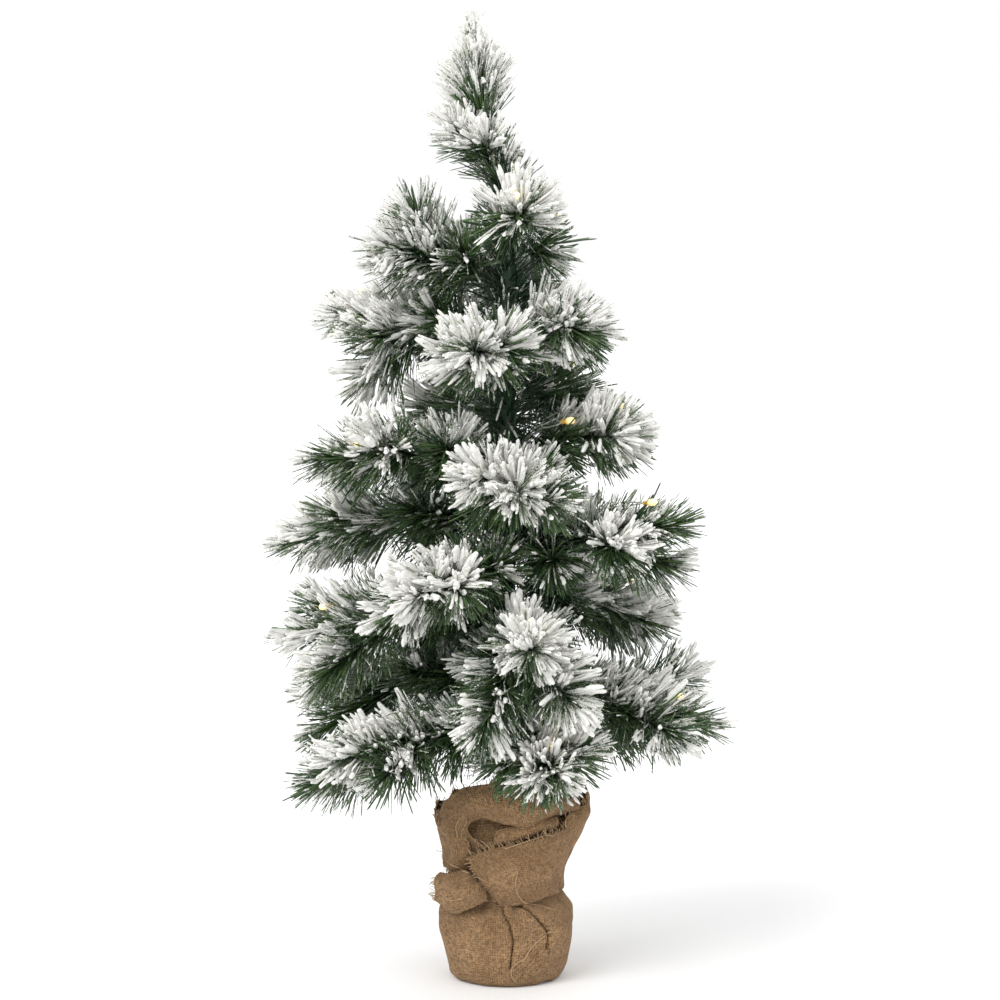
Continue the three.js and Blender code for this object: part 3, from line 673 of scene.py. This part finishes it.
class Sprig:
    """One needle-bearing stretch of stem: its line, where its needles are, and how heavily it is flocked."""

    def __init__(self, line, start, flock, length=NEEDLE_LENGTH, end=None, lean=56):
        self.line = line
        self.start = start
        self.end = line.length - TIP_REACH if end is None else end
        self.flock = flock
        self.needle = length
        self.lean = lean

    def grown(self, share, angle):
        """A needle's root, direction and length: swept forward, and closing over the end of the tip."""
        place, along = self.line.at(self.start + share * (self.end - self.start))
        side = along.cross(Vector((0, 0, 1)))
        side = side.normalized() if side.length > 1e-3 else Vector((1, 0, 0))
        over = side.cross(along)
        closing = max(0.0, share - 0.8) / 0.2
        lean = math.radians(RNG.gauss(self.lean, 11) - 8 * share - 46 * closing * RNG.random() ** 0.6)
        out = side * math.cos(angle) + over * math.sin(angle)
        length = self.needle * RNG.uniform(0.72, 1.06) * (1 - 0.22 * max(0.0, share - 0.6) / 0.4)
        return place, (along * math.cos(lean) + out * math.sin(lean)).normalized(), length

    def bundles(self):
        """Needles that flock has drawn together: (share, angle, place, direction, length, snow)."""
        for _ in range(int((self.end - self.start) / MM * BUNDLES_PER_MM)):
            share = RNG.random()
            angle = RNG.uniform(0, 2 * math.pi)
            place, out, length = self.grown(share, angle)
            patch = noise.noise((place + out * length) * PATCHES)
            snow = self.flock * (0.16 + 0.66 * share) + 0.3 * out.z + 0.95 * patch + RNG.gauss(0, 0.08)
            yield share, angle, place, out, length, snow


def needle_cells(count):
    grid = math.ceil(math.sqrt(count))
    return [((i % grid, i // grid), grid) for i in range(count)]


def add_needle(bm, root, tip, along, snow, cell):
    """One needle from its root to its tip, bent a little and dusted most at its end."""
    shape, bend = RNG.choice(NEEDLE_SHAPES)
    length = (tip - root).length
    x, y, z = basis(tip - root, along)
    width = NEEDLE_WIDTH * RNG.uniform(0.8, 1.15) * (1.3 if snow > HEAVY else 1.0)
    thick = width * (2.2 if snow > HEAVY else 1.0)
    lift = bend * RNG.uniform(0.4, 1.6) * length / thick
    dusted = 0.08 + 0.62 * snow + 0.3 * (shape.along - 0.4)
    shape.copy_into(bm, framed(x, y, z, root, (width, thick, length)), lift, cell,
                    snow=dusted, tone=RNG.random())


def add_fingers(bm, place, out, length, snow):
    """Lumps of flock along one bundle: long fingers where it is heavy, and a stray lump where it is not."""
    x, y, z = basis(out, Vector((0, 0, 1)))
    if snow < HEAVY:
        if snow > LUMPY and RNG.random() < 0.6:
            size = RNG.uniform(1.1, 2.1) * MM
            at = place + out * length * RNG.uniform(0.35, 0.9)
            matrix = framed(x, y, z, at, (size, size, RNG.uniform(4, 8) * MM))
            RNG.choice(FINGERS).copy_into(bm, matrix)
        return
    for _ in range(min(2, 1 + int((snow - HEAVY) * 5))):
        aside = (x * RNG.gauss(0, 1) + y * RNG.gauss(0, 1)) * 1.1 * MM
        start = RNG.uniform(0.25, 0.6) * length
        end = length + RNG.uniform(-3, 2) * MM
        size = RNG.uniform(1.0, 2.1) * MM * min(1.6, 0.4 + 0.8 * snow)
        matrix = framed(x, y, z, place + out * start + aside, (size, size, max(end - start, 6 * MM)))
        RNG.choice(FINGERS).copy_into(bm, matrix)


def grow(name, sprigs, body, material=None):
    """A branch's needles and its flock, as two pieces."""
    plan = []
    bm = bmesh.new()
    for sprig in sprigs:
        for share, angle, place, out, length, snow in sprig.bundles():
            tip = place + out * length
            drawn = 0.75 if snow > HEAVY else 0.25
            for _ in range(2 + (RNG.random() < 0.5)):
                root_share = min(max(share + RNG.gauss(0, 0.05), 0.0), 1.0)
                root, own, own_length = sprig.grown(root_share, angle + RNG.gauss(0, 0.35))
                own_tip = root + own * own_length
                plan.append((root, own_tip.lerp(tip, drawn), sprig.line.at(sprig.start)[1], snow))
            if sprig.flock:
                add_fingers(bm, place, out, length, snow)
    needles = bmesh.new()
    for (root, tip, along, snow), cell in zip(plan, needle_cells(len(plan))):
        add_needle(needles, root, tip, along, snow, cell)
    if bm.verts:
        add_piece(f"{name}_flock", bm, FLOCK, body)
    else:
        bm.free()
    return add_piece(f"{name}_needles", needles, material or NEEDLES, body)


def twisted(line, start, end, radius, pitch, steps=6):
    """Two strands wound round a line."""
    routes = []
    turns = (end - start) / pitch
    count = max(4, int(turns * steps))
    for strand in range(2):
        route = []
        for i in range(count + 1):
            place, along = line.at(start + (end - start) * i / count)
            side = along.orthogonal().normalized()
            over = along.cross(side)
            angle = 2 * math.pi * turns * i / count + strand * math.pi
            route.append(place + (side * math.cos(angle) + over * math.sin(angle)) * radius)
        routes.append(route)
    return routes


def stems(name, sprigs, body):
    """The stem wires of a branch: two strands twisted together, in the open stretch and through the tips."""
    bm = bmesh.new()
    main = sprigs[0]
    tubes(bm, twisted(main.line, 0.5 * MM, main.start + 12 * MM, 0.5 * MM, 4.5 * MM), 0.55 * MM, 0)
    for sprig in sprigs:
        end = sprig.line.length - TIP_REACH
        begin = main.start + 12 * MM if sprig is main else 0.0
        steps = 6
        route = [sprig.line.at(begin + (end - begin) * i / steps)[0] for i in range(steps + 1)]
        tubes(bm, [route], 0.8 * MM, 0)
    return add_piece(name, bm, WIRE, body)


def stem_line(root, turn, reach, rise):
    """The same gently arched line as the branch's solid."""
    end = root + direction(turn, rise) * reach
    middle = root.lerp(end, 0.5) + Vector((0, 0, 2 * ARCH_SHARE * reach))
    steps = 16
    points = []
    for i in range(steps + 1):
        t = i / steps
        points.append(root * (1 - t) ** 2 + middle * 2 * t * (1 - t) + end * t * t)
    return Line(points)


def branch_sprigs(joint, form):
    reach, rise, forks, flock = form
    root = Vector(joint["pos_m"])
    turn = math.degrees(math.atan2(root.x, -root.y))
    main = stem_line(root, turn, reach * MM, rise)
    fork = main.at(FORK_SHARE * main.length)[0]
    sprigs = [Sprig(main, BARE_STEM, flock[0])]
    for (yaw, pitch, length), amount in zip(forks, flock[1:]):
        out = direction(turn + yaw, rise + pitch)
        sprigs.append(Sprig(Line([fork, fork + out * length * MM]), 4 * MM, amount))
    low = main.at(0.16 * main.length)[0]
    for yaw, pitch in INNER_SPRIGS:
        length = (0.2 * reach + 26) * MM
        line = Line([low, low + direction(turn + yaw, rise + pitch) * length])
        sprigs.append(Sprig(line, 2 * MM, 0.25, 32 * MM))
    return sprigs


def make_branches():
    hinges = {joint["child"]: joint for joint in frame["joints"] if joint["type"] == "hinge"}
    for body, form in BRANCHES.items():
        sprigs = branch_sprigs(hinges[body], form)
        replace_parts(grow(body, sprigs, body), body)
        stems(f"{body}_wires", sprigs, body)


def make_leader():
    root = Vector(next(j for j in frame["joints"] if j["child"] == "leader")["pos_m"])
    route = [root + Vector((out, 0, up)) * MM for out, up in LEADER_ROUTE]
    main = Line(catmull(route))
    crown = Sprig(main, 0.36 * main.length, 0.85, 34 * MM, 0.68 * main.length, 44)
    spike = Sprig(main, 0.6 * main.length, 0.6, 15 * MM, main.length - 11 * MM, 30)
    waist = Sprig(main, 2 * MM, 0.7, 29 * MM, 0.28 * main.length, 52)
    sprigs = [waist, crown, crown, spike, spike]
    fork = main.at(0.2 * main.length)[0]
    for turn, rise, length in LEADER_SPRIGS:
        line = Line([fork, fork + direction(turn, rise) * length * MM])
        sprigs.append(Sprig(line, 2 * MM, 0.85, 28 * MM, line.length - 12 * MM))
    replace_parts(grow("leader", sprigs, "leader"), "leader")
    stems("leader_wires", sprigs, "leader")


def make_trunk_needles():
    """Needles wound on the trunk, which close the view through the tree."""
    foot = Vector((0, 0, 126 * MM))
    top = Vector((0, 0, 500 * MM))
    sprig = Sprig(Line([foot, top]), 0.0, 0.0, 42 * MM, 362 * MM, 72)
    # The trunk's needles use the darker needle finish with painted shade.
    grow("trunk", [sprig], "root", SHADED_INNER_NEEDLES)


# ---------------------------------------------------------------- light string

def lamp_profile(wide, long):
    """A small clear lamp: a sleeve over its leads, then a rounded dome."""
    return [(0, 0), (0.62 * wide, 0), (0.62 * wide, 0.3 * long), (0.74 * wide, 0.34 * long),
            (0.95 * wide, 0.42 * long), (wide, 0.55 * long), (wide, 0.72 * long), (0.85 * wide, 0.86 * long),
            (0.5 * wide, 0.96 * long), (0, long)]


def add_lamp(name, place, along, body):
    bm = bmesh.new()
    x, y, z = basis(along, Vector((0, 0, 1)))
    turned(bm, lamp_profile(LAMP_RADIUS, LAMP_LENGTH), framed(x, y, z, place, (1, 1, 1)), 14)
    lit = bm.verts.layers.float.new("lit")
    for vert in bm.verts:
        vert[lit] = min(max(((vert.co - place).dot(z) / LAMP_LENGTH - 0.3) * 3, 0.0), 1.0)
    return add_piece(name, bm, LAMP, body)


def swayed(points, seed, amount):
    """The points of a loose lead: a smooth curve that wanders between its fixed ends."""
    route = catmull(points, 6)
    last = len(route) - 1
    made = []
    for i, point in enumerate(route):
        hold = min(i, last - i, 5) / 5
        wander = noise.noise_vector(Vector((seed * 7.3, i * 0.21, 0.5))) * amount * hold
        made.append(point + wander)
    return made


def lead_pair(points, seed, apart):
    """The two leads of a lamp, side by side and crossing now and then."""
    return [swayed([p + Vector((0, 0, lift)) for p in points], seed + lift * 900, apart) for lift in (0.0, 0.5 * MM)]


def make_lamp(body, label, line, share, rise, seed, stands_for=None):
    """A lamp on a branch, the leads that hold it there, and their hop from the trunk."""
    stem, along = line.at(share * line.length)
    lamp = stem + rise - along * LAMP_LENGTH * 0.5
    piece = add_lamp(label, lamp, along, body)
    if stands_for:
        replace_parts(piece, stands_for)
    points = [line.at(part * line.length)[0] + rise * lift
              for part, lift in ((0.06, 0.25), (share * 0.4, 0.85), (share * 0.75, 1.05))]
    bm = bmesh.new()
    tubes(bm, lead_pair([*points, lamp + along * 1.5 * MM], seed, 5 * MM), LEAD_RADIUS, 0)
    add_piece(f"{label}_leads", bm, LEAD, body)
    near = line.points[0]
    trunk = Vector((near.x, near.y, 0)) * 0.93 + Vector((0, 0, near.z - 9 * MM))
    start = points[0]
    bm = bmesh.new()
    hop = [trunk, trunk.lerp(start, 0.45) + Vector((0, 0, 1.5 * MM)), start]
    tubes(bm, lead_pair(hop, seed, 0.8 * MM), LEAD_RADIUS, 0)
    joined = add_piece(f"{label}_hop", bm, LEAD, None)
    tuple(start)
    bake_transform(joined)


def make_light_string():
    hinges = {joint["child"]: joint for joint in frame["joints"] if joint["type"] == "hinge"}
    for seed, (body, share, rise) in enumerate(LAMPS):
        number = body[-2:]
        node = f"light_{number}"
        solid = node if rise == OVER_STEM else None
        line = branch_sprigs(hinges[body], BRANCHES[body])[0].line
        label = f"lamp_{number}" if solid else f"lamp_{number}_extra"
        make_lamp(body, label, line, share, Vector(rise) * MM, seed, solid)


# ---------------------------------------------------------------- burlap

def mark_shade_in_folds(bm):
    """Marks how deep each point lies in a crease, from 0 on a flat to 1 in a sharp valley, for the shade painted into
    the valleys.
    """
    painted_shade = bm.verts.layers.float.new("painted_shade")
    bm.normal_update()
    for vert in bm.verts:
        if vert.is_boundary:
            continue
        near = [edge.other_vert(vert).co for edge in vert.link_edges]
        middle = sum(near, Vector()) / len(near)
        spread = sum((point - vert.co).length for point in near) / len(near)
        out = Vector((vert.co.x, vert.co.y, 0)).normalized()
        rise = (middle - vert.co).dot(vert.normal) * (1 if vert.normal.dot(out) > 0 else -1)
        vert[painted_shade] = min(max(rise / spread * 3.2 - 0.12, 0.0), 1.0)


def cloth(name, place, cut, across, down, closed=False):
    """A sheet of burlap from a grid shaped by place(u, v) in mm, with its weave over its cut size in mm."""
    bm = bmesh.new()
    bmesh.ops.create_grid(bm, x_segments=across, y_segments=down, size=0.5)
    weave = bm.loops.layers.uv.new("weave")
    for face in bm.faces:
        for loop in face.loops:
            at = loop.vert.co
            loop[weave].uv = ((at.x + 0.5) * cut[0] / THREAD, (at.y + 0.5) * cut[1] / THREAD)
    for vert in bm.verts:
        vert.co = place(vert.co.x + 0.5, vert.co.y + 0.5) * MM
    if closed:
        bmesh.ops.remove_doubles(bm, verts=bm.verts[:], dist=0.02 * MM)
    mark_shade_in_folds(bm)
    piece = add_piece(name, bm, BURLAP, "root")
    thickness = piece.modifiers.new("thickness", "SOLIDIFY")
    thickness.thickness = CLOTH * MM
    thickness.offset = 0.0
    return piece


def patch(rows):
    """place(u, v) for a sheet through rows of (x, y, z) points in mm, from its lower edge to its upper."""
    rows = [[Vector(point) for point in row] for row in rows]
    return lambda u, v: curve_at([curve_at(row, u) for row in rows], v)


def crumpled(place, amount, size, seed):
    """The same sheet with soft creases of the given height and spacing, in mm."""
    def made(u, v):
        point = place(u, v)
        return point + noise.noise_vector(point / size + Vector((seed, 0, 0))) * amount
    return made


def ragged(place, edge, inside, count, length):
    """Routes of the yarns that stand out of a torn edge. edge and inside give (u, v) at a share along it."""
    routes = []
    for k in range(count):
        share = (k + RNG.random()) / count
        rim, inner = place(*edge(share)), place(*inside(share))
        out = (rim - inner).normalized()
        reach = length * RNG.uniform(0.25, 1.2)
        stray = Vector((RNG.gauss(0, 1), RNG.gauss(0, 1), RNG.gauss(-0.3, 0.8))) * reach * 0.22
        routes.append([p * MM for p in (rim - out * 1.5, rim, rim + out * reach * 0.5 + stray * 0.5,
                                        rim + out * reach + stray * 1.4)])
    return routes


def yarns(name, routes, radius=YARN_RADIUS):
    bm = bmesh.new()
    tubes(bm, routes, radius, 0)
    return add_piece(name, bm, YARN, "root")


def laid_on(pieces, points, above):
    """A route through (x, z) points in mm that lies on the front of the pieces."""
    trees = []
    for piece in pieces:
        bm = bmesh.new()
        bm.from_mesh(piece.data)
        trees.append(BVHTree.FromBMesh(bm))
        bm.free()
    route = []
    for point in catmull([Vector((x, 0, z)) * MM for x, z in points]):
        start = Vector((point.x, -0.2, point.z))
        hits = [tree.ray_cast(start, Vector((0, 1, 0)), 0.2)[0] for tree in trees]
        depths = [hit.y for hit in hits if hit]
        if depths:
            route.append(Vector((point.x, min(depths) - above, point.z)))
    return route


def crease_depth(x, z):
    """How far the bag's front is drawn in at a point, in mm, with one side of each crease standing over it."""
    depth = 0.0
    for line, deep, wide, step in CREASES:
        best = None
        for (x0, z0), (x1, z1) in zip(line, line[1:]):
            run = (x1 - x0) ** 2 + (z1 - z0) ** 2
            share = min(max(((x - x0) * (x1 - x0) + (z - z0) * (z1 - z0)) / run, 0.0), 1.0)
            dx, dz = x - x0 - share * (x1 - x0), z - z0 - share * (z1 - z0)
            away = math.hypot(dx, dz)
            if best is None or away < best[0]:
                best = away, dx
        away, dx = best
        near = math.exp(-(away / wide) ** 2)
        depth += deep * near - (step * math.exp(-(away / (3 * wide)) ** 2) if dx > 0 else 0.0)
    return depth


def wrap_place(u, v):
    """The sack: under the cup, up its side, in to the neck, and out in a loose collar."""
    turn = 2 * math.pi * u
    around = Vector((math.sin(turn), -math.cos(turn), 0))
    if v <= NECK_SHARE:
        outline = curve_at(BAG_OUTLINE, v / NECK_SHARE)
        radius, height = outline.x, outline.y
        gather = max(0.0, 1 - abs(height - 53) / 16) ** 1.5
        radius += gather * (1.5 * math.cos(13 * turn + 2 * math.sin(3 * turn)) + 0.8 * math.cos(23 * turn))
        side = min(1.0, height / 12)
        radius += side * 1.6 * noise.noise(Vector((math.cos(turn) * 1.6, math.sin(turn) * 1.6, height / 26)))
        if around.y < 0 and height > 3:
            radius -= side * crease_depth(radius * around.x, height)
        return around * radius + Vector((0, 0, height))
    share = (v - NECK_SHARE) / (1 - NECK_SHARE)
    column = [curve_at(ring, u) for ring in COLLAR_RINGS]
    at = curve_at(column, share)
    folds = share * (1.9 * math.cos(9 * turn + 2.2 * math.sin(2 * turn + 1)) + 1.1 * math.cos(17 * turn + 1))
    rise = share ** 2 * (2.2 * math.cos(11 * turn + 0.7) + 1.4 * math.cos(19 * turn))
    gather = (1 - share) ** 3 * (1.5 * math.cos(13 * turn + 2 * math.sin(3 * turn)) + 0.8 * math.cos(23 * turn))
    return around * (at.x + folds + gather) + Vector((0, 0, at.y + rise))


def make_burlap():
    edge = lambda share: (share, 1.0)
    inside = lambda share: (share, 0.96)
    wrap = crumpled(wrap_place, 0.9, 9.0, 3.0)
    frays = yarns("burlap_wrap_frays", ragged(wrap, edge, inside, 150, 5.0))
    sack = cloth("burlap_wrap", wrap, (255, 165), 216, 130, True)
    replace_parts(sack, "burlap_sack")
    inner = crumpled(patch(INNER_CLOTH), 1.4, 10.0, 51.0)
    cloth("burlap_inner", inner, (82, 32), 50, 20, False)

    front = crumpled(patch(FRONT_PANEL), 1.0, 10.0, 11.0)
    torn = (ragged(front, edge, inside, 46, 5.0)
            + ragged(front, lambda t: (0.0, t), lambda t: (0.05, t), 26, 2.5))
    frays = yarns("burlap_front_frays", torn)
    panel = cloth("burlap_front", front, (80, 48), 64, 44, False)

    drape = crumpled(patch(DRAPE), 1.3, 9.0, 23.0)
    torn = (ragged(drape, edge, inside, 70, 4.0)
            + ragged(drape, lambda t: (0.0, t), lambda t: (0.03, t), 18, 5.0))
    frays = yarns("burlap_drape_frays", torn)
    apron = cloth("burlap_drape", drape, (150, 30), 110, 28, False)

    roll = crumpled(patch(ROLL), 0.6, 8.0, 31.0)
    cloth("burlap_roll", roll, (40, 16), 40, 16, False)

    knot = crumpled(patch(KNOT_FLAP), 0.8, 8.0, 41.0)
    torn = ragged(knot, lambda t: (0.0, t), lambda t: (0.06, t), 34, 4.5)
    frays = yarns("burlap_knot_frays", torn)
    flap = cloth("burlap_knot", knot, (40, 34), 40, 30, False)

    sheets = [sack, panel, apron, flap]
    yarns("burlap_loose_threads", [laid_on(sheets, route, 0.95 * MM) for route in LOOSE_THREADS], 0.33 * MM)

    ring = [Vector((math.sin(a), -math.cos(a), 0)) * 32.4 * MM + Vector((0, 0, 54 * MM))
            for a in (2 * math.pi * i / 60 for i in range(61))]
    tie = Line(ring)
    bm = bmesh.new()
    tubes(bm, twisted(tie, 0.0, tie.length, 0.5 * MM, 4 * MM), 0.5 * MM, 1)
    twine = add_piece("tie_twine", bm, YARN, "root")
    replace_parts(twine, "neck_tie")


def dress_solids():
    """Finishes for the solids whose own shape is right."""
    finishes = {"base_cup": CUP, "cement_fill": CEMENT, "trunk_pole": POLE, "trunk_wrap": WRAP, "battery_box": BOX,
                "battery_door": BOX, "battery_switch": BUTTON, "light_wire": LEAD,
                "battery_cell_1": CELL, "battery_cell_2": CELL, "battery_cell_3": CELL}
    for name, material in finishes.items():
        for slot in frame["nodes"][name].material_slots:
            slot.material = material


make_branches()
make_leader()
make_trunk_needles()
make_light_string()
make_burlap()
dress_solids()

# ---------------------------------------------------------------- view

def make_stage():
    bm = bmesh.new()
    bmesh.ops.create_circle(bm, cap_ends=True, segments=96, radius=60.0)
    mesh = bpy.data.meshes.new("floor")
    bm.to_mesh(mesh)
    bm.free()
    material, tree, shader = new_material("pale floor")
    place = put(tree, "ShaderNodeTexCoord").outputs["Object"]
    mottle = put(tree, "ShaderNodeTexNoise", {"Vector": place, "Scale": 3.0, "Detail": 3.0})
    tree.links.new(mixed(tree, mottle.outputs["Fac"], (0.93, 0.93, 0.93), (0.96, 0.96, 0.96)),
                   shader.inputs["Base Color"])
    shader.inputs["Roughness"].default_value = 0.9
    mesh.materials.append(material)
    floor = bpy.data.objects.new("floor", mesh)
    bpy.context.scene.collection.objects.link(floor)


def aim(thing, target):
    thing.rotation_euler = (Vector(target) - thing.location).to_track_quat("-Z", "Y").to_euler()


def add_sun(name, place, strength, spread):
    """A soft light from far off, shining from the place to the middle of the tree."""
    data = bpy.data.lights.new(name, "SUN")
    data.energy = strength
    data.angle = math.radians(spread)
    light = bpy.data.objects.new(name, data)
    light.location = place
    aim(light, (0, 0, 0.3))
    bpy.context.scene.collection.objects.link(light)


def make_world():
    """Even white light all round, seen as plain white."""
    world = bpy.data.worlds.new("studio")
    world.use_nodes = True
    tree = world.node_tree
    tree.nodes["Background"].inputs["Color"].default_value = (1, 1, 1, 1)
    seen = tree.nodes.new("ShaderNodeLightPath").outputs["Is Camera Ray"]
    tree.links.new(math_of(tree, "MULTIPLY_ADD", seen, 1.0 - WORLD_LIGHT, WORLD_LIGHT),
                   tree.nodes["Background"].inputs["Strength"])
    bpy.context.scene.world = world
    bpy.context.scene.view_settings.view_transform = "Standard"


def make_view():
    add_sun("key", (-1.1, -1.3, 1.7), 1.8, 35)
    add_sun("fill", (1.6, -0.9, 0.9), 0.4, 60)
    add_sun("back", (0.4, 1.6, 1.2), 0.4, 60)
    make_world()
    data = bpy.data.cameras.new("camera")
    data.lens = 93
    data.clip_end = 200
    camera = bpy.data.objects.new("camera", data)
    camera.location = (-0.004, -1.6, 0.41)
    aim(camera, (-0.004, 0, 0.299))
    bpy.context.scene.collection.objects.link(camera)
    bpy.context.scene.camera = camera


make_stage()
make_view()
